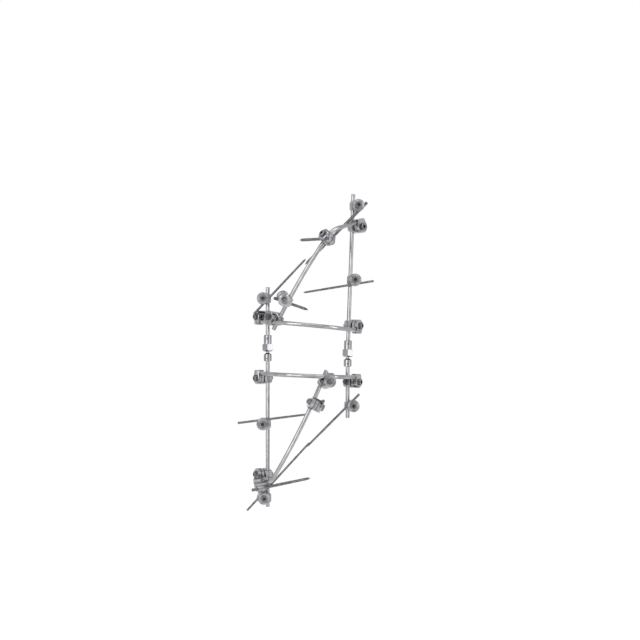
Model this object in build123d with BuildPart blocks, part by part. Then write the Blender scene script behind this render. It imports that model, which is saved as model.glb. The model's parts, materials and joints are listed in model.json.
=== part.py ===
from build123d import *
import math
import os

# External fixator that spans a knee: two steel frames, one for the thigh and one for the
# shin, joined at the sides of the knee by two ball joints, with pins for the bones.
# X runs to the viewer's right, Y away from the viewer and Z up. The origin is midway
# between the two ball centres. Lengths are in millimetres and angles in degrees.

# Uprights
rod_d = 8.0
rod_end_chamfer = 0.7
knee_span = 157.4
knee_drop = 10.8
right_lean_angle = 2.05
right_femoral_reach = 315.0
left_femoral_reach = 121.0
left_tibial_reach = 312.0
right_tibial_reach = 126.0

# Cross bars: arcs that pass in front of the limb, given by their heights at the uprights
arc_back = 40.0
femoral_bar_left_height = 57.3
femoral_bar_right_height = 42.6
tibial_bar_left_drop = 44.0
tibial_bar_right_drop = 50.4
bar_overhang = 13.0

# Braces: bent bars that climb from a cross bar to the far end of a long upright
brace_end = 15.0
brace_tail_end = 12.0
femoral_brace_foot_gap = 8.7
tibial_brace_foot = 36.0
femoral_brace_from_end = 57.4
tibial_brace_from_end = 54.6
femoral_brace_bends = 350.0, 45.0
tibial_brace_bends = 350.0, 18.0
bend_room_share = 0.985
limb_front = 60.0

# Corners of the braces, as shares of half the knee span, of limb_front and of the brace height
femoral_brace_shares = (-0.08, -1.02, 0.609), (0.602, -0.83, 0.928)
tibial_brace_shares = (-0.13, -1.25, 0.586), (-0.89, -0.87, 1.0)

# Jaws that grip a rod, shared by all clamps
jaw_d = 24.0
jaw_reach = 16.0
jaw_width = 18.0
jaw_corner = 4.0
jaw_rim = 0.8
rod_jaw_t = 6.5
rod_parting = 1.0
rod_offset = 9.5
grip_clearance = 0.05

# Round jaws that grip a pin
pin_jaw_t = 4.6
pin_parting = 0.8
pin_offset = 8.0
pin_clearance = 0.08
face_gap = 0.1

# Clamp bolt and nut
bolt_d = 6.0
bolt_clearance = 0.3
head_d = 12.5
head_h = 4.5
head_rim = 0.6
key_across = 6.0
key_depth = 3.0
nut_across = 11.0
nut_h = 5.5
nut_clearance = 0.05
bolt_tip = 2.0

# Bone pins: light ones in the uprights' clamps, heavy ones in the braces' and the two
# that carry most load
light_pin_d = 4.5
heavy_pin_d = 6.0
pin_thread_share = 0.88
pin_thread_l = 38.0
pin_thread_step = 0.6
pin_point_share = 1.1
pin_end_chamfer = 0.5
pin_overhang = 35.0

# Bone pins whose clamps sit a step past another clamp on their upright
femoral_end_pin_step = 12.1
tibial_end_pin_step = 14.35
femoral_left_pin_step = 44.537
tibial_right_pin_step = 55.044

# How far the middle of the limb lies in front of the plane of the uprights
limb_depth = 12.0

# Ball joints
ball_d = 12.0
ball_clearance = 0.08
neck_d = 5.8
socket_d = 15.5
socket_top = 26.6
socket_rim = 0.8
stud_shoulder = 11.5
stud_shoulder_top = 8.6
stud_shoulder_d = 7.2
stud_bottom = 24.8
rod_seat = 13.0
seat_skirt = 1.0
lock_nut_across = 20.0
lock_nut_top = 8.8
lock_nut_bottom = 6.0
lock_nut_cone_top = 2.2
lock_nut_cone_d = 15.2
lock_nut_rim = 1.6
lock_mouth_d = 10.0
lock_flare_d = 14.2
thread_clearance = 0.05
screw_d = 4.0
screw_height = 19.5
screw_key_across = 2.0
screw_key_depth = 1.5
cut_overrun = 1.0

# Worked out
half_span = knee_span / 2
rod_r = rod_d / 2
rod_stack = rod_jaw_t + rod_parting / 2
pin_stack = pin_jaw_t + pin_parting / 2
link_pitch = 2 * rod_stack + face_gap
pin_pitch = rod_stack + face_gap + pin_stack

left = Vector(-1, 0, 0)
right = Vector(1, 0, 0)
front = Vector(0, -1, 0)
back = Vector(0, 1, 0)
up = Vector(0, 0, 1)
down = Vector(0, 0, -1)
lean = math.radians(right_lean_angle)
up_right = Vector(math.sin(lean), 0, math.cos(lean))

left_ball = Vector(-half_span, 0, knee_drop / 2)
right_ball = Vector(half_span, 0, -knee_drop / 2)
femoral_brace_height = (right_ball + up_right * right_femoral_reach).Z - femoral_brace_from_end
tibial_brace_depth = -(left_ball + down * left_tibial_reach).Z - tibial_brace_from_end


def height_on(ball, direction, height):
    """The point of an upright's axis at a given height."""
    return ball + direction * ((height - ball.Z) / direction.Z)


def corner(shares, height):
    """A corner of a brace from its shares of the half span, the limb's front and a height."""
    return Vector(shares[0] * half_span, shares[1] * limb_front, shares[2] * height)


def passing_point(carrier_point, carrier_axis, target, pitch, side):
    """Where a straight piece aimed at the target passes the carrier, one pitch off its axis."""
    aim = target - carrier_point
    level = aim - carrier_axis * aim.dot(carrier_axis)
    toward = level.normalized()
    aside = carrier_axis.cross(toward) * side
    turn = math.acos(pitch / level.length)
    normal = toward * math.cos(turn) + aside * math.sin(turn)
    return carrier_point + normal * pitch


def clamp_seats(first, first_axis, second, second_axis, second_offset, bolt_side):
    """Planes on a clamp's bolt at its two held pieces, each with X towards its piece.

    first and second are the points where the pieces pass each other, and bolt_side says
    roughly which way the bolt lies from there.
    """
    normal = (second - first).normalized()
    first_side = normal.cross(first_axis)
    second_side = normal.cross(second_axis)
    first_sign = math.copysign(1, bolt_side.dot(first_side))
    second_sign = math.copysign(1, bolt_side.dot(second_side))
    along_second = first_sign * rod_offset / second_axis.dot(first_side)
    along_first = second_sign * second_offset / first_axis.dot(second_side)
    shift = second_axis * along_second + first_axis * along_first
    first_seat = Plane(origin=first + shift, x_dir=first_side * -first_sign, z_dir=normal)
    second_seat = Plane(origin=second + shift, x_dir=second_side * -second_sign, z_dir=normal)
    return first_seat, second_seat


class CrossBar:
    """Arc that passes one pitch in front of both uprights."""

    def __init__(self, left_point, right_point):
        across = (right_point - left_point).normalized()
        self.centre = (left_point + right_point) / 2 + back * arc_back
        self.radius = (right_point - self.centre).length + link_pitch
        self.across = across
        self.ahead = (front - across * front.dot(across)).normalized()
        self.foot_angle = math.atan2((right_point - left_point).length / 2, arc_back)
        self.end_angle = self.foot_angle + bar_overhang / self.radius

    def point(self, angle):
        """The point at an angle from straight ahead, positive to the right."""
        spoke = self.across * math.sin(angle) + self.ahead * math.cos(angle)
        return self.centre + spoke * self.radius

    def tangent(self, angle):
        """The direction of the bar, to the right, at an angle."""
        return self.across * math.cos(angle) - self.ahead * math.sin(angle)

    def angle_at(self, offset):
        """The angle of the point that lies an offset to the right of the arc's middle."""
        return math.asin(offset / self.radius)


class Brace:
    """Bent bar from a cross bar, past two corners, to an upright."""

    def __init__(self, bar, foot_offset, corners, bends, upright_point, upright_axis, sides):
        angle = bar.angle_at(foot_offset)
        self.bar_point = bar.point(angle)
        self.bar_axis = bar.tangent(angle)
        self.low_corner, self.high_corner = corners
        self.bends = bends
        self.foot = passing_point(self.bar_point, self.bar_axis, self.low_corner, link_pitch, sides[0])
        self.head = passing_point(upright_point, upright_axis, self.high_corner, link_pitch, sides[1])
        self.upright_point = upright_point
        self.upright_axis = upright_axis
        self.foot_axis = (self.low_corner - self.foot).normalized()
        self.tail_axis = (self.head - self.high_corner).normalized()

    def route(self):
        """The corners of the bar from end to end."""
        start = self.foot - self.foot_axis * brace_end
        end = self.head + self.tail_axis * brace_tail_end
        return start, self.low_corner, self.high_corner, end

    def bend_radii(self):
        """The radii of the bends, the lower one limited by the room between the bar's corners."""
        start, low, high, end = self.route()
        low_bend, high_bend = self.bends
        low_turn = math.radians((low - start).get_angle(high - low))
        high_turn = math.radians((high - low).get_angle(end - high))
        run_left = (high - low).length - high_bend * math.tan(high_turn / 2)
        room = min((low - start).length, run_left) * bend_room_share
        return min(low_bend, room / math.tan(low_turn / 2)), high_bend


femoral_left_point = height_on(left_ball, up, femoral_bar_left_height)
femoral_right_point = height_on(right_ball, up_right, femoral_bar_right_height)
tibial_left_point = height_on(left_ball, up, -tibial_bar_left_drop)
tibial_right_point = height_on(right_ball, up, -tibial_bar_right_drop)
femoral_bar = CrossBar(femoral_left_point, femoral_right_point)
tibial_bar = CrossBar(tibial_left_point, tibial_right_point)

femoral_brace = Brace(
    femoral_bar,
    femoral_brace_foot_gap - half_span,
    [corner(shares, femoral_brace_height) for shares in femoral_brace_shares],
    femoral_brace_bends,
    height_on(right_ball, up_right, femoral_brace_height),
    up_right,
    (-1, 1),
)
tibial_brace = Brace(
    tibial_bar,
    tibial_brace_foot,
    [corner(shares, -tibial_brace_depth) for shares in tibial_brace_shares],
    tibial_brace_bends,
    height_on(left_ball, up, -tibial_brace_depth),
    up,
    (1, -1),
)


def straight_rod(start, end, diameter, chamfer_size):
    """Round rod with chamfered ends."""
    with BuildPart() as rod:
        with BuildSketch(Plane(origin=start, z_dir=end - start)):
            Circle(diameter / 2)
        extrude(amount=(end - start).length)
        chamfer(rod.edges().filter_by(GeomType.CIRCLE), chamfer_size)
    return rod


def rod_space(start, end, diameter):
    """The space that a straight rod takes in the jaws that grip it."""
    with BuildPart() as space:
        with BuildSketch(Plane(origin=start, z_dir=end - start)):
            Circle(diameter / 2)
        extrude(amount=(end - start).length)
    return space.part


def arc_bar(bar, diameter):
    """Cross bar, or the space that it takes in its clamps."""
    with BuildPart() as made:
        with BuildLine() as path:
            ThreePointArc(bar.point(-bar.end_angle), bar.point(0), bar.point(bar.end_angle))
        with BuildSketch(Plane(origin=path.line @ 0, z_dir=path.line % 0)):
            Circle(diameter / 2)
        sweep(path=path.line)
    return made


def bent_bar(brace, diameter):
    """Brace, or the space that it takes in its clamps."""
    with BuildPart() as made:
        with BuildLine() as path:
            FilletPolyline(*brace.route(), radius=list(brace.bend_radii()))
        with BuildSketch(Plane(origin=path.line @ 0, z_dir=path.line % 0)):
            Circle(diameter / 2)
        sweep(path=path.line)
    return made


def rod_jaws(seat, held):
    """Two jaws that meet on a rod, with the rod's groove and the bolt's hole."""
    with BuildPart() as jaws:
        for face in (-1, 1):
            with BuildSketch(seat.offset(face * rod_parting / 2)):
                Circle(jaw_d / 2)
                with Locations((jaw_reach / 2, 0)):
                    RectangleRounded(jaw_reach, jaw_width, jaw_corner)
                make_hull()
            extrude(amount=face * rod_jaw_t)
        ends = jaws.faces().sort_by(Axis(seat.origin, seat.z_dir))
        chamfer(ends[0].edges() + ends[-1].edges(), jaw_rim)
        with BuildSketch(seat):
            Circle(bolt_d / 2 + bolt_clearance)
        extrude(amount=rod_stack + cut_overrun, both=True, mode=Mode.SUBTRACT)
        add(held, mode=Mode.SUBTRACT)
    return jaws


def pin_jaws(seat, held):
    """Two round jaws that meet on a pin, with the pin's groove and the bolt's hole."""
    with BuildPart() as jaws:
        for face in (-1, 1):
            with BuildSketch(seat.offset(face * pin_parting / 2)):
                Circle(jaw_d / 2)
            extrude(amount=face * pin_jaw_t)
        ends = jaws.faces().sort_by(Axis(seat.origin, seat.z_dir))
        chamfer(ends[0].edges() + ends[-1].edges(), jaw_rim)
        with BuildSketch(seat):
            Circle(bolt_d / 2 + bolt_clearance)
        extrude(amount=pin_stack + cut_overrun, both=True, mode=Mode.SUBTRACT)
        add(held, mode=Mode.SUBTRACT)
    return jaws


def clamp_bolts(spans):
    """Socket-head bolts, one for each pair of planes: under the head and at the nut."""
    with BuildPart() as bolts:
        for head_seat, nut_seat in spans:
            grip = (head_seat.origin - nut_seat.origin).length
            with BuildSketch(head_seat):
                Circle(head_d / 2)
            extrude(amount=head_h)
            top = bolts.faces(Select.LAST).sort_by(Axis(head_seat.origin, head_seat.z_dir))[-1]
            chamfer(top.edges(), head_rim)
            with BuildSketch(head_seat):
                Circle(bolt_d / 2)
            extrude(amount=-(grip + nut_h + bolt_tip))
            with BuildSketch(head_seat.offset(head_h - key_depth)):
                RegularPolygon(key_across / 2, 6, major_radius=False)
            extrude(amount=key_depth, mode=Mode.SUBTRACT)
    return bolts


def clamp_nuts(spans):
    """Hexagon nuts, one for each pair of planes."""
    with BuildPart() as nuts:
        for head_seat, nut_seat in spans:
            with BuildSketch(nut_seat):
                RegularPolygon(nut_across / 2, 6, major_radius=False)
                Circle(bolt_d / 2 + nut_clearance, mode=Mode.SUBTRACT)
            extrude(amount=-nut_h)
    return nuts


def bone_pin(tip, outer_end, diameter):
    """Pin with a smooth shank, a thinner stretch for the bone thread and a point."""
    axis = (outer_end - tip).normalized()
    length = (outer_end - tip).length
    shank_r = diameter / 2
    thread_r = shank_r * pin_thread_share
    with BuildPart() as pin:
        with BuildSketch(Plane(origin=tip, x_dir=axis, z_dir=axis.cross(up))):
            Polygon(
                (0, 0),
                (diameter * pin_point_share, thread_r),
                (pin_thread_l, thread_r),
                (pin_thread_l + pin_thread_step, shank_r),
                (length - pin_end_chamfer, shank_r),
                (length, shank_r - pin_end_chamfer),
                (length, 0),
                align=None,
            )
        revolve(axis=Axis(tip, axis))
    return pin


def turned_plane(ball, axis):
    """Plane through a ball joint's axis: X outward to the front, Y along the axis."""
    return Plane(origin=ball, x_dir=front, z_dir=front.cross(axis))


def screw_hole_plane(ball, axis):
    """Plane of a set screw's hole, on the joint's axis and facing the front."""
    return Plane(origin=ball + axis * screw_height, z_dir=front)


def ball_stud(ball, axis):
    """Ball, neck and rod socket in one piece; axis points from the ball to the rod."""
    ball_r = ball_d / 2 - ball_clearance
    neck_r = neck_d / 2
    socket_r = socket_d / 2
    bore_r = rod_r + grip_clearance
    neck_start = math.sqrt(ball_r**2 - neck_r**2)
    with BuildPart() as stud:
        with BuildSketch(turned_plane(ball, axis)):
            with BuildLine():
                ThreePointArc((0, -ball_r), (ball_r, 0), (neck_r, neck_start))
                Polyline(
                    (neck_r, neck_start),
                    (neck_r, stud_shoulder_top),
                    (stud_shoulder_d / 2, stud_shoulder_top),
                    (socket_r, stud_shoulder),
                    (socket_r, stud_bottom - socket_rim),
                    (socket_r - socket_rim, stud_bottom),
                    (bore_r, stud_bottom),
                    (bore_r, rod_seat),
                    (0, rod_seat),
                    (0, -ball_r),
                )
            make_face()
        revolve(axis=Axis(ball, axis))
        with BuildSketch(screw_hole_plane(ball, axis)):
            Circle(screw_d / 2 + thread_clearance)
        extrude(amount=socket_r + cut_overrun, mode=Mode.SUBTRACT)
    return stud


def ball_housing(ball, axis):
    """Rod socket with the upper half of the ball's seat in its lower end."""
    seat_r = ball_d / 2
    socket_r = socket_d / 2
    bore_r = rod_r + grip_clearance
    edge_r = math.sqrt(seat_r**2 - seat_skirt**2)
    middle_r = seat_r * math.sqrt(0.5)
    with BuildPart() as housing:
        with BuildSketch(turned_plane(ball, axis)):
            with BuildLine():
                ThreePointArc((0, seat_r), (middle_r, middle_r), (edge_r, seat_skirt))
                Polyline(
                    (edge_r, seat_skirt),
                    (socket_r, seat_skirt),
                    (socket_r, socket_top - socket_rim),
                    (socket_r - socket_rim, socket_top),
                    (bore_r, socket_top),
                    (bore_r, rod_seat),
                    (0, rod_seat),
                    (0, seat_r),
                )
            make_face()
        revolve(axis=Axis(ball, axis))
        with BuildSketch(screw_hole_plane(ball, axis)):
            Circle(screw_d / 2 + thread_clearance)
        extrude(amount=socket_r + cut_overrun, mode=Mode.SUBTRACT)
    return housing


def lock_nut(ball, axis):
    """Hexagon nut that holds the ball up in its seat, with a flared mouth for the neck."""
    seat_r = ball_d / 2
    bore_r = socket_d / 2 + thread_clearance
    floor = seat_skirt - face_gap
    floor_r = math.sqrt(seat_r**2 - floor**2)
    mouth_r = lock_mouth_d / 2
    mouth = -math.sqrt(seat_r**2 - mouth_r**2)
    corner_r = lock_nut_across / math.sqrt(3)
    with BuildPart() as nut:
        with BuildSketch(turned_plane(ball, axis)):
            with BuildLine():
                ThreePointArc((floor_r, floor), (seat_r, 0), (mouth_r, mouth))
                Polyline(
                    (mouth_r, mouth),
                    (lock_flare_d / 2, -lock_nut_bottom),
                    (lock_nut_cone_d / 2, -lock_nut_bottom),
                    (corner_r, -lock_nut_cone_top),
                    (corner_r, lock_nut_top - lock_nut_rim / 2),
                    (corner_r - lock_nut_rim, lock_nut_top),
                    (bore_r, lock_nut_top),
                    (bore_r, floor),
                    (floor_r, floor),
                )
            make_face()
        revolve(axis=Axis(ball, axis))
        with BuildSketch(Plane(origin=ball - axis * lock_nut_bottom, x_dir=front, z_dir=axis)):
            RegularPolygon(lock_nut_across / 2, 6, major_radius=False)
        extrude(amount=lock_nut_bottom + lock_nut_top, mode=Mode.INTERSECT)
    return nut


def set_screws(places):
    """Grub screws with hexagon sockets, one for each ball and axis."""
    inner = rod_r + 2 * grip_clearance
    length = socket_d / 2 - inner - screw_key_depth / 2
    with BuildPart() as screws:
        for ball, axis in places:
            seat = screw_hole_plane(ball, axis).offset(inner)
            with BuildSketch(seat):
                Circle(screw_d / 2)
            extrude(amount=length)
            with BuildSketch(seat.offset(length - screw_key_depth)):
                RegularPolygon(screw_key_across / 2, 6, major_radius=False)
            extrude(amount=screw_key_depth, mode=Mode.SUBTRACT)
    return screws


class Stretch:
    """Straight stretch of a rod or bar that a clamp can sit on."""

    def __init__(self, start, end):
        self.start = start
        self.end = end
        self.axis = (end - start).normalized()

    def spot(self, share):
        """The point a share of the way along."""
        return self.start + (self.end - self.start) * share


os.makedirs("parts", exist_ok=True)


def save(made, label):
    """Label a finished piece and write it."""
    made.part.label = label
    export_step(made.part, "parts/" + label + ".step")


# Uprights
uprights = {
    "femoral_left_rod": Stretch(left_ball, left_ball + up * left_femoral_reach),
    "femoral_right_rod": Stretch(right_ball, right_ball + up_right * right_femoral_reach),
    "tibial_left_rod": Stretch(left_ball, left_ball + down * left_tibial_reach),
    "tibial_right_rod": Stretch(right_ball, right_ball + down * right_tibial_reach),
}
spaces = {}
for label, upright in uprights.items():
    foot = upright.start + upright.axis * rod_seat
    save(straight_rod(foot, upright.end, rod_d, rod_end_chamfer), label)
    spaces[label] = rod_space(foot, upright.end + upright.axis * cut_overrun, rod_d + 2 * grip_clearance)

# Cross bars and braces
for label, bar in (("femoral_cross_bar", femoral_bar), ("tibial_cross_bar", tibial_bar)):
    save(arc_bar(bar, rod_d), label)
    spaces[label] = arc_bar(bar, rod_d + 2 * grip_clearance).part
for label, brace in (("femoral_brace", femoral_brace), ("tibial_brace", tibial_brace)):
    save(bent_bar(brace, rod_d), label)
    spaces[label] = bent_bar(brace, rod_d + 2 * grip_clearance).part

# Ball joints
for label, ball, rod in (
    ("left", left_ball, "femoral_left_rod"),
    ("right", right_ball, "femoral_right_rod"),
):
    save(ball_housing(ball, uprights[rod].axis), label + "_ball_housing")
    save(lock_nut(ball, uprights[rod].axis), label + "_lock_nut")
    save(ball_stud(ball, down), label + "_ball_stud")
save(set_screws(((left_ball, up), (right_ball, up_right))), "femoral_set_screws")
save(set_screws(((left_ball, down), (right_ball, down))), "tibial_set_screws")


class Clamp:
    """Clamp between two held pieces that pass each other."""

    def __init__(self, first, second, second_offset, bolt_side):
        point, axis, self.first_space = first
        other_point, other_axis, self.second_space = second
        slant = axis.dot(other_axis)
        gap = other_point - point
        spread = 1 - slant**2
        along = (gap.dot(axis) - gap.dot(other_axis) * slant) / spread
        other_along = (gap.dot(axis) * slant - gap.dot(other_axis)) / spread
        first_foot = point + axis * along
        second_foot = other_point + other_axis * other_along
        self.first_seat, self.second_seat = clamp_seats(
            first_foot, axis, second_foot, other_axis, second_offset, bolt_side
        )


# Clamps that join a bar to an upright, or a brace to a cross bar
away = {"femoral": up, "tibial": down}
bars = {"femoral": femoral_bar, "tibial": tibial_bar}
braces = {"femoral": femoral_brace, "tibial": tibial_brace}
bar_heights = {
    "femoral": (femoral_left_point, femoral_right_point),
    "tibial": (tibial_left_point, tibial_right_point),
}
brace_sides = {"femoral": right, "tibial": left}
links = {"femoral": {}, "tibial": {}}
for frame, bar in bars.items():
    for side, sign, upright_point in (
        ("left", -1, bar_heights[frame][0]),
        ("right", 1, bar_heights[frame][1]),
    ):
        rod = frame + "_" + side + "_rod"
        angle = sign * bar.foot_angle
        links[frame][frame + "_bar_" + side + "_clamp"] = Clamp(
            (upright_point, uprights[rod].axis, spaces[rod]),
            (bar.point(angle), bar.tangent(angle), spaces[frame + "_cross_bar"]),
            rod_offset,
            away[frame] + bar.tangent(angle) * sign,
        )
    brace = braces[frame]
    links[frame][frame + "_brace_bar_clamp"] = Clamp(
        (brace.bar_point, brace.bar_axis, spaces[frame + "_cross_bar"]),
        (brace.foot, brace.foot_axis, spaces[frame + "_brace"]),
        rod_offset,
        away[frame] - brace_sides[frame],
    )
    long_rod = "femoral_right_rod" if frame == "femoral" else "tibial_left_rod"
    links[frame][frame + "_brace_rod_clamp"] = Clamp(
        (brace.upright_point, brace.upright_axis, spaces[long_rod]),
        (brace.head, brace.tail_axis, spaces[frame + "_brace"]),
        rod_offset,
        brace.tail_axis - away[frame],
    )
for frame in links:
    for label, clamp in links[frame].items():
        first_pair = rod_jaws(clamp.first_seat, clamp.first_space)
        second_pair = rod_jaws(clamp.second_seat, clamp.second_space)
        with BuildPart() as link_jaws:
            add(first_pair.part)
            add(second_pair.part)
        save(link_jaws, label)


class BonePin:
    """Bone pin, its clamp and its place on a stretch of rod or bar."""

    def __init__(self, carrier, place_shares, target, side, bolt_side, diameter):
        stretch, space = carrier
        station_share, overhang_share = place_shares
        point = stretch.spot(station_share)
        foot = passing_point(point, stretch.axis, target, pin_pitch, side)
        axis = (target - foot).normalized()
        reach = axis * (2 * jaw_d)
        self.tip = target
        self.outer_end = foot - axis * (pin_overhang * overhang_share)
        self.diameter = diameter
        held = rod_space(foot - reach, foot + reach, diameter + 2 * pin_clearance)
        self.clamp = Clamp((point, stretch.axis, space), (foot, axis, held), pin_offset, bolt_side)


def bone_point(shares, reach):
    """A place in a bone from shares of the half span, the limb's depth and a reach."""
    return Vector(shares[0] * half_span, -shares[1] * limb_depth, shares[2] * reach)


def on_rod(label):
    """An upright as a carrier."""
    return uprights[label], spaces[label]


def past_clamp(label, point, step):
    """An upright as a carrier, from one step past a clamp's point to its end."""
    upright = uprights[label]
    return Stretch(point + upright.axis * step, upright.end), spaces[label]


def on_brace(frame, start, end):
    """A straight stretch of a brace as a carrier."""
    return Stretch(start, end), spaces[frame + "_brace"]


# The bone ends of the pins, as shares for bone_point
femoral_target_shares = (
    (-0.065, 1.5, 0.536),
    (-0.20, 1.17, 0.69),
    (-0.115, 1.0, 0.364),
    (-0.04, 0.67, 0.577),
    (0.025, 1.0, 0.256),
)
tibial_target_shares = (
    (-0.01, 0.83, -0.3965),
    (-0.04, 1.67, -0.602),
    (0.076, -0.33, -0.36),
    (0.085, 0.67, -0.797),
    (0.06, -0.17, -0.574),
)
f_targets = [bone_point(shares, right_femoral_reach) for shares in femoral_target_shares]
t_targets = [bone_point(shares, left_tibial_reach) for shares in tibial_target_shares]

# The clamps' places along the rods and bars, and the pins' outer ends against pin_overhang
femoral_place_shares = (0.0, 1.11), (0.68, 0.79), (0.43, 1.33), (0.0, 1.13), (0.36, 0.71)
tibial_place_shares = (0.4445, 1.68), (0.0, 0.87), (0.45, 0.78), (0.5, 0.87), (0.0, 1.75)

f_brace = femoral_brace
t_brace = tibial_brace
on_f_foot = on_brace("femoral", f_brace.foot, f_brace.low_corner)
on_f_run = on_brace("femoral", f_brace.low_corner, f_brace.high_corner)
on_t_foot = on_brace("tibial", t_brace.foot, t_brace.low_corner)
on_t_tail = on_brace("tibial", t_brace.high_corner, t_brace.head)
femoral_end = past_clamp("femoral_right_rod", f_brace.upright_point, femoral_end_pin_step)
tibial_end = past_clamp("tibial_left_rod", t_brace.upright_point, tibial_end_pin_step)
femoral_right = on_rod("femoral_right_rod")
femoral_left = past_clamp("femoral_left_rod", femoral_left_point, femoral_left_pin_step)
tibial_left = on_rod("tibial_left_rod")
tibial_right = past_clamp("tibial_right_rod", tibial_right_point, tibial_right_pin_step)
f_places = femoral_place_shares
t_places = tibial_place_shares
heavy = heavy_pin_d
light = light_pin_d
pins = {
    "femoral": (
        BonePin(femoral_end, f_places[0], f_targets[0], 1, right + up + up, heavy),
        BonePin(on_f_run, f_places[1], f_targets[1], 1, right + up, heavy),
        BonePin(femoral_right, f_places[2], f_targets[2], 1, right + up, light),
        BonePin(femoral_left, f_places[3], f_targets[3], -1, left, light),
        BonePin(on_f_foot, f_places[4], f_targets[4], 1, left + up, heavy),
    ),
    "tibial": (
        BonePin(tibial_left, t_places[0], t_targets[0], 1, left + down, light),
        BonePin(tibial_right, t_places[1], t_targets[1], -1, right, light),
        BonePin(on_t_foot, t_places[2], t_targets[2], 1, right + down, heavy),
        BonePin(on_t_tail, t_places[3], t_targets[3], 1, left, heavy),
        BonePin(tibial_end, t_places[4], t_targets[4], 1, left + down + down, light),
    ),
}
for frame in pins:
    for number, pin in enumerate(pins[frame], start=1):
        label = frame + "_pin_" + str(number)
        save(bone_pin(pin.tip, pin.outer_end, pin.diameter), label)
        save(rod_jaws(pin.clamp.first_seat, pin.clamp.first_space), label + "_rod_jaws")
        save(pin_jaws(pin.clamp.second_seat, pin.clamp.second_space), label + "_pin_jaws")

# Clamp bolts and nuts
for frame in pins:
    spans = []
    for clamp in links[frame].values():
        spans.append((clamp.second_seat.offset(rod_stack), clamp.first_seat.offset(-rod_stack)))
    for pin in pins[frame]:
        head_seat = pin.clamp.second_seat.offset(pin_stack + face_gap)
        spans.append((head_seat, pin.clamp.first_seat.offset(-rod_stack)))
    save(clamp_bolts(spans), frame + "_clamp_bolts")
    save(clamp_nuts(spans), frame + "_clamp_nuts")
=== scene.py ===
import json
import math

import bmesh
import bpy
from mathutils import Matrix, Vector


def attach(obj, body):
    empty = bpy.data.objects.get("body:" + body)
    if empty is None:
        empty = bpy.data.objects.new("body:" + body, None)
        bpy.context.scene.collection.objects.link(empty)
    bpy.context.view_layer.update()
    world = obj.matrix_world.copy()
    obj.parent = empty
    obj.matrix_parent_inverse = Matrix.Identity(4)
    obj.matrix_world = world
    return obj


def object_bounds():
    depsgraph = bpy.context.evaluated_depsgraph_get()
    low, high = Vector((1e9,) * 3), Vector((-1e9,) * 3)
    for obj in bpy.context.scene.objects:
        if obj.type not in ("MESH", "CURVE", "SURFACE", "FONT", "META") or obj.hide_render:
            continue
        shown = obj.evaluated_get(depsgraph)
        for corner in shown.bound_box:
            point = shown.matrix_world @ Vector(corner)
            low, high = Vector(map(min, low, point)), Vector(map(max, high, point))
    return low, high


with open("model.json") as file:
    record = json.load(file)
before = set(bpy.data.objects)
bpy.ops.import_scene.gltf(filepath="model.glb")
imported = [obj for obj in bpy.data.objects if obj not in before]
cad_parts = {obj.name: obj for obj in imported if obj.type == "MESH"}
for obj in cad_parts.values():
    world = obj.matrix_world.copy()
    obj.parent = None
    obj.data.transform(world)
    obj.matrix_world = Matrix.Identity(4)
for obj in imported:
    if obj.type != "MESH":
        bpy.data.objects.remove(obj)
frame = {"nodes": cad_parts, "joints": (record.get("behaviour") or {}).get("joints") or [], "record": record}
cad_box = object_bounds()
record = frame["record"]

mm = 0.001

# Camera: level, in front of the frame, with the knee a little under the picture's middle
camera_distance = 2.0
camera_right = 0.0243
picture_width = 1.261
camera_shift = 0.0488
sensor_width = 36.0

# Floor and light of the room
white = (1.0, 1.0, 1.0, 1.0)
floor_drop = 0.45
floor_half = 6.0
floor_grey = 0.8
floor_glow = 0.45
room_light = 0.75
background_light = 1.0

# Lamps, which all face the knee: name, place, width, height, watts
lamps = (
    ("key", (-1.3, -2.3, 0.55), 1.5, 2.2, 28.0),
    ("fill", (2.3, -1.3, 0.8), 0.7, 2.2, 13.0),
    ("top", (0.3, -1.2, 2.2), 1.8, 0.9, 14.0),
)

# Steels: light and dark grey of the mottling, roughness and its spread, grains in a metre, relief
steels = {
    "rod_steel": (0.35, 0.27, 0.13, 0.03, 700.0, 0.012),
    "clamp_steel": (0.38, 0.20, 0.15, 0.05, 900.0, 0.04),
    "pin_steel": (0.17, 0.10, 0.28, 0.07, 1600.0, 0.15),
    "joint_steel": (0.31, 0.24, 0.15, 0.03, 700.0, 0.012),
    "fastener_steel": (0.22, 0.14, 0.22, 0.06, 1400.0, 0.12),
    # the near-black steel of the key recess cups is painted shade, not the bolts' own colour
    "key_steel": (0.05, 0.03, 0.50, 0.08, 1400.0, 0.20),
}
cold_tint = 0.01
mottle_share = 0.12
mottle_detail = 4.0
mottle_dark_place = 0.35
mottle_light_place = 0.62
grain_detail = 6.0
relief_depth = 0.0001

# Threads of the bone pins and of the bolts' tips
pin_pitch = 0.00175
pin_root_share = 0.88
pin_fade_turns = 1.5
bolt_pitch = 0.001
bolt_radius = 0.003
bolt_crest = 0.00012
bolt_fade_turns = 0.4
bolt_tip = 0.0019
thread_steps = 20
thread_seat = 0.00003
ridge_half_share = 0.42

# Ribs round the heads of the clamp bolts
head_d = 0.0125
head_h = 0.0045
rib_count = 36
rib_height = 0.0003
rib_seat = 0.0001
rib_width_share = 0.7
rib_top_gap = 0.0009
rib_bottom_gap = 0.0004

# Near-black cups inside the bolts' key recesses: painted shade where the recesses lie in shadow
key_reach = 0.0038
key_depth = 0.003
key_gap = 0.00002
key_wall = 0.00012
key_lip = 0.0002
key_floor = 0.0002

# Rings turned on the outer faces of the round jaws, with their section in widths and heights
ring_radii = (0.0082, 0.0098)
ring_width = 0.0005
ring_height = 0.0002
ring_steps = 64
ring_section_shares = ((-0.5, -0.4), (-0.5, 0.5), (0.0, 1.0), (0.5, 0.5), (0.5, -0.4))

# Finding a bolt's axis and faces in its mesh
weld_gap = 0.000001
level_gap = 0.00001
axis_rounds = 12


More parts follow.
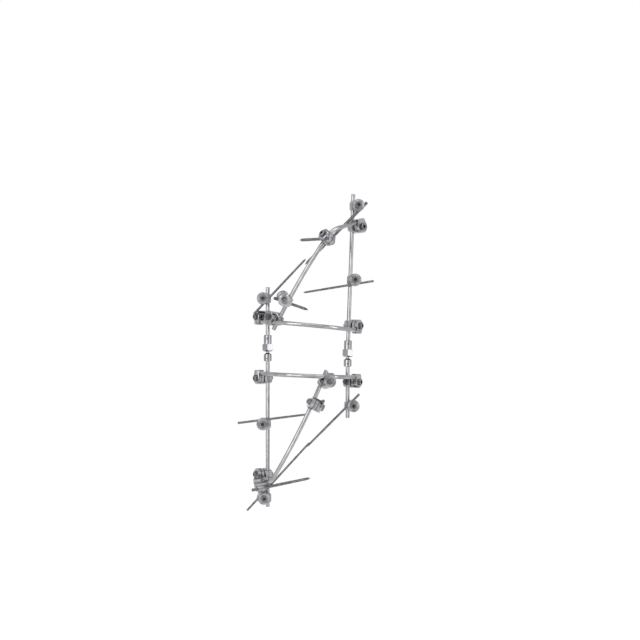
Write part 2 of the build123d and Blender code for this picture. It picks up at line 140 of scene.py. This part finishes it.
def steel(name, light, dark, roughness, spread, grain, relief):
    """Steel with faint mottling, fine scratches and uneven polish."""
    material = bpy.data.materials.new(name)
    material.use_nodes = True
    nodes = material.node_tree.nodes
    links = material.node_tree.links
    shader = nodes["Principled BSDF"]
    shader.inputs["Metallic"].default_value = 1.0
    place = nodes.new("ShaderNodeTexCoord")

    mottle = nodes.new("ShaderNodeTexNoise")
    mottle.inputs["Scale"].default_value = grain * mottle_share
    mottle.inputs["Detail"].default_value = mottle_detail
    links.new(place.outputs["Object"], mottle.inputs["Vector"])
    tint = nodes.new("ShaderNodeValToRGB")
    ends = zip(tint.color_ramp.elements, (mottle_dark_place, mottle_light_place), (dark, light))
    for element, position, grey in ends:
        element.position = position
        element.color = (grey, grey, grey + cold_tint, 1.0)
    links.new(mottle.outputs["Fac"], tint.inputs["Fac"])
    links.new(tint.outputs["Color"], shader.inputs["Base Color"])

    fine = nodes.new("ShaderNodeTexNoise")
    fine.inputs["Scale"].default_value = grain
    fine.inputs["Detail"].default_value = grain_detail
    links.new(place.outputs["Object"], fine.inputs["Vector"])
    polish = nodes.new("ShaderNodeMapRange")
    polish.inputs["To Min"].default_value = roughness - spread
    polish.inputs["To Max"].default_value = roughness + spread
    links.new(fine.outputs["Fac"], polish.inputs["Value"])
    links.new(polish.outputs["Result"], shader.inputs["Roughness"])

    bump = nodes.new("ShaderNodeBump")
    bump.inputs["Strength"].default_value = relief
    bump.inputs["Distance"].default_value = relief_depth
    links.new(fine.outputs["Fac"], bump.inputs["Height"])
    links.new(bump.outputs["Normal"], shader.inputs["Normal"])
    return material


finishes = {name: steel(name, *values) for name, values in steels.items()}


def dress_nodes():
    """Give every CAD node the finish of its slot."""
    slots = {entry["node"]: entry["material_slot"] for entry in record["subparts"]}
    for name, node in frame["nodes"].items():
        node.data.materials.clear()
        node.data.materials.append(finishes[slots[name]])


def finish_shape(shape, name, body, finish):
    """Turn a worked shape into a piece of a body and finish."""
    bmesh.ops.recalc_face_normals(shape, faces=shape.faces)
    made = bpy.data.meshes.new(name)
    shape.to_mesh(made)
    shape.free()
    piece = bpy.data.objects.new(name, made)
    bpy.context.scene.collection.objects.link(piece)
    piece.data.materials.append(finishes[finish])
    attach(piece, body)


def spokes_round(axis):
    """Function that gives the direction at an angle round an axis."""
    side = axis.orthogonal().normalized()
    across = axis.cross(side)
    return lambda angle: side * math.cos(angle) + across * math.sin(angle)


def join_rows(shape, first, second):
    """Faces between two rows of points that each run round an outline."""
    for k in range(len(first)):
        following = (k + 1) % len(first)
        shape.faces.new((first[k], first[following], second[following], second[k]))


def add_thread(shape, centre, axis, root, crest, length, pitch, fade_turns):
    """Helical ridge round a straight stretch, lower at both of its ends."""
    turns = length / pitch - 1
    spoke_at = spokes_round(axis)
    start = centre - axis * (turns * pitch / 2)
    half_foot = axis * (pitch * ridge_half_share)
    rows = []
    for step in range(int(turns * thread_steps) + 1):
        turn = step / thread_steps
        spoke = spoke_at(math.tau * turn)
        middle = start + axis * (turn * pitch)
        fade = min(1.0, turn / fade_turns, (turns - turn) / fade_turns)
        foot = middle + spoke * (root - thread_seat)
        top = middle + spoke * (root + (crest - root) * max(fade, 0.0))
        rows.append([shape.verts.new(point) for point in (foot - half_foot, top, foot + half_foot)])
    for first, second in zip(rows, rows[1:]):
        join_rows(shape, first, second)
    shape.faces.new(rows[0][::-1])
    shape.faces.new(rows[-1])


def make_pin_threads():
    """One thread for each bone pin, where the record's mounts place it."""
    for mount in record["mounts"]:
        if not mount["name"].endswith("_thread"):
            continue
        root = mount["dims"]["r_mm"] * mm
        length = mount["dims"]["length_mm"] * mm
        centre = Vector(mount["pos_m"])
        axis = Vector(mount["axis"])
        shape = bmesh.new()
        add_thread(shape, centre, axis, root, root / pin_root_share, length, pin_pitch, pin_fade_turns)
        pin = mount["name"].replace("_thread", "")
        finish_shape(shape, mount["name"], pin, "pin_steel")


def loose_parts(node):
    """The separate solids of a node, each as its list of points."""
    shape = bmesh.new()
    shape.from_mesh(node.data)
    bmesh.ops.remove_doubles(shape, verts=shape.verts, dist=weld_gap)
    seen = set()
    parts = []
    for start in shape.verts:
        if start in seen:
            continue
        seen.add(start)
        stack = [start]
        points = []
        while stack:
            vert = stack.pop()
            points.append(vert.co.copy())
            for edge in vert.link_edges:
                other = edge.other_vert(vert)
                if other not in seen:
                    seen.add(other)
                    stack.append(other)
        parts.append(points)
    shape.free()
    return parts


def bolt_axis(points):
    """Centre of a bolt head's top, the way it faces, its keyhole's corners and the bolt's length."""
    middle = sum(points, Vector()) / len(points)
    arms = [point - middle for point in points]
    axis = max(arms, key=lambda arm: arm.length).normalized()
    for _ in range(axis_rounds):
        axis = sum((arm * arm.dot(axis) for arm in arms), Vector()).normalized()
    heights = [arm.dot(axis) for arm in arms]
    widths = [(arm - axis * height).length for arm, height in zip(arms, heights)]
    head_height = max(zip(widths, heights))[1]
    if head_height < (max(heights) + min(heights)) / 2:
        axis = -axis
        heights = [-height for height in heights]
    top = max(heights)
    rim = [point for point, height in zip(points, heights) if height > top - level_gap]
    centre = sum(rim, Vector()) / len(rim)
    keyhole = [point for point in rim if (point - centre).length < key_reach]
    return centre, axis, keyhole, top - min(heights)


def add_ribs(shape, centre, axis):
    """Fine straight ribs round a bolt head."""
    spoke_at = spokes_round(axis)
    inner = head_d / 2 - rib_seat
    outer = head_d / 2 + rib_height
    bottom = centre - axis * (head_h - rib_bottom_gap)
    top = centre - axis * rib_top_gap
    half = math.pi / rib_count * rib_width_share
    outline = ((-half, inner), (0.0, outer), (half, inner))
    for index in range(rib_count):
        angle = math.tau * index / rib_count
        low, high = (
            [shape.verts.new(level + spoke_at(angle + turn) * reach) for turn, reach in outline]
            for level in (bottom, top)
        )
        join_rows(shape, low, high)
        shape.faces.new(low[::-1])
        shape.faces.new(high)


def add_key_recess_shade(shape, centre, axis, keyhole):
    """Thin cup just inside the walls and floor of a key recess, which carries the recess's painted shade."""
    first = (keyhole[0] - centre).normalized()
    second = axis.cross(first)
    arms = [point - centre for point in keyhole]
    arms.sort(key=lambda arm: math.atan2(arm.dot(second), arm.dot(first)))
    reach = sum(arm.length for arm in arms) / len(arms)
    outer_share = 1 - key_gap / reach
    inner_share = outer_share - key_wall / reach
    levels = (
        (inner_share, key_depth - key_floor),
        (inner_share, key_lip + key_wall),
        (outer_share, key_lip),
        (outer_share, key_depth - key_gap),
    )
    rings = [
        [shape.verts.new(centre + arm * share - axis * depth) for arm in arms]
        for share, depth in levels
    ]
    for one, other in zip(rings, rings[1:]):
        join_rows(shape, one, other)
    shape.faces.new(rings[0])
    shape.faces.new(rings[-1])


def make_bolt_details():
    """Ribs, key recess cups of painted shade and tip threads on the clamp bolts, one piece of each for each
    frame.
    """
    for part in ("femoral", "tibial"):
        ribs = bmesh.new()
        recess_shades = bmesh.new()
        threads = bmesh.new()
        for points in loose_parts(frame["nodes"][part + "_clamp_bolts"]):
            centre, axis, keyhole, length = bolt_axis(points)
            add_ribs(ribs, centre, axis)
            add_key_recess_shade(recess_shades, centre, axis, keyhole)
            tip = centre - axis * (length - bolt_tip / 2)
            crest = bolt_radius + bolt_crest
            add_thread(threads, tip, axis, bolt_radius, crest, bolt_tip, bolt_pitch, bolt_fade_turns)
        body = part + "_frame"
        finish_shape(ribs, part + "_bolt_ribs", body, "fastener_steel")
        # the key recess cups get the near-black steel that paints shade into the recesses
        finish_shape(recess_shades, part + "_key_linings", body, "key_steel")
        finish_shape(threads, part + "_bolt_threads", body, "fastener_steel")


def add_ring(shape, centre, axis, radius):
    """Low rounded ring on a face."""
    spoke_at = spokes_round(axis)
    rows = []
    for step in range(ring_steps):
        spoke = spoke_at(math.tau * step / ring_steps)
        row = []
        for out, rise in ring_section_shares:
            place = centre + spoke * (radius + out * ring_width) + axis * (rise * ring_height)
            row.append(shape.verts.new(place))
        rows.append(row)
    for row, following in zip(rows, rows[1:] + rows[:1]):
        join_rows(shape, row, following)


def make_jaw_rings():
    """Turned rings on the face of each pair of round jaws that the bolt head sits on."""
    for joint in frame["joints"]:
        if not joint["name"].endswith("_swivel"):
            continue
        name = joint["child"].replace("_jaws", "_pin_jaws")
        centre = Vector(joint["pos_m"])
        axis = Vector(joint["axis"]).normalized()
        top = max((vert.co - centre).dot(axis) for vert in frame["nodes"][name].data.vertices)
        shape = bmesh.new()
        for radius in ring_radii:
            add_ring(shape, centre + axis * top, axis, radius)
        finish_shape(shape, name + "_rings", joint["child"], "clamp_steel")


def make_camera():
    """Level camera in front of the frame, shifted to the photograph's framing."""
    data = bpy.data.cameras.new("camera")
    data.sensor_width = sensor_width
    data.lens = sensor_width * camera_distance / picture_width
    data.shift_y = camera_shift
    camera = bpy.data.objects.new("camera", data)
    bpy.context.scene.collection.objects.link(camera)
    camera.location = (camera_right, -camera_distance, 0.0)
    camera.rotation_euler = (math.radians(90), 0.0, 0.0)
    bpy.context.scene.camera = camera


def set_light(node, strength):
    """Give a background or a glow white light of one strength."""
    node.inputs["Color"].default_value = white
    node.inputs["Strength"].default_value = strength


def make_floor():
    """Plain pale floor, well under the frame, which keeps its soft shadow."""
    low = cad_box[0].z - floor_drop
    corners = [(x * floor_half, y * floor_half, low) for x, y in ((-1, -1), (1, -1), (1, 1), (-1, 1))]
    made = bpy.data.meshes.new("floor")
    made.from_pydata(corners, [], [(0, 1, 2, 3)])
    floor = bpy.data.objects.new("floor", made)
    bpy.context.scene.collection.objects.link(floor)
    material = bpy.data.materials.new("floor_white")
    material.use_nodes = True
    nodes = material.node_tree.nodes
    links = material.node_tree.links
    nodes.remove(nodes["Principled BSDF"])
    matt = nodes.new("ShaderNodeBsdfDiffuse")
    matt.inputs["Color"].default_value = (floor_grey, floor_grey, floor_grey, 1.0)
    glow = nodes.new("ShaderNodeEmission")
    set_light(glow, floor_glow)
    both = nodes.new("ShaderNodeAddShader")
    links.new(matt.outputs[0], both.inputs[0])
    links.new(glow.outputs[0], both.inputs[1])
    links.new(both.outputs[0], nodes["Material Output"].inputs["Surface"])
    floor.data.materials.append(material)


def make_world():
    """White background, to the camera and in the steel, and a plain level of light."""
    world = bpy.data.worlds.new("studio")
    world.use_nodes = True
    bpy.context.scene.world = world
    nodes = world.node_tree.nodes
    links = world.node_tree.links
    room = nodes["Background"]
    set_light(room, room_light)
    backdrop = nodes.new("ShaderNodeBackground")
    set_light(backdrop, background_light)

    path = nodes.new("ShaderNodeLightPath")
    shader = room
    for ray in ("Is Camera Ray", "Is Glossy Ray", "Is Transmission Ray"):
        mix = nodes.new("ShaderNodeMixShader")
        links.new(path.outputs[ray], mix.inputs["Fac"])
        links.new(shader.outputs[0], mix.inputs[1])
        links.new(backdrop.outputs[0], mix.inputs[2])
        shader = mix
    links.new(shader.outputs[0], nodes["World Output"].inputs["Surface"])


def make_lamp(name, place, width, height, watts):
    """Soft rectangular lamp that faces the knee and that the camera doesn't see."""
    data = bpy.data.lights.new(name, "AREA")
    data.shape = "RECTANGLE"
    data.size = width
    data.size_y = height
    data.energy = watts
    lamp = bpy.data.objects.new(name, data)
    lamp.visible_camera = False
    bpy.context.scene.collection.objects.link(lamp)
    lamp.location = place
    lamp.rotation_euler = (-Vector(place)).to_track_quat("-Z", "Y").to_euler()


bpy.context.scene.view_settings.view_transform = "Standard"
dress_nodes()
make_pin_threads()
make_bolt_details()
make_jaw_rings()
make_camera()
make_floor()
make_world()
for lamp in lamps:
    make_lamp(*lamp)
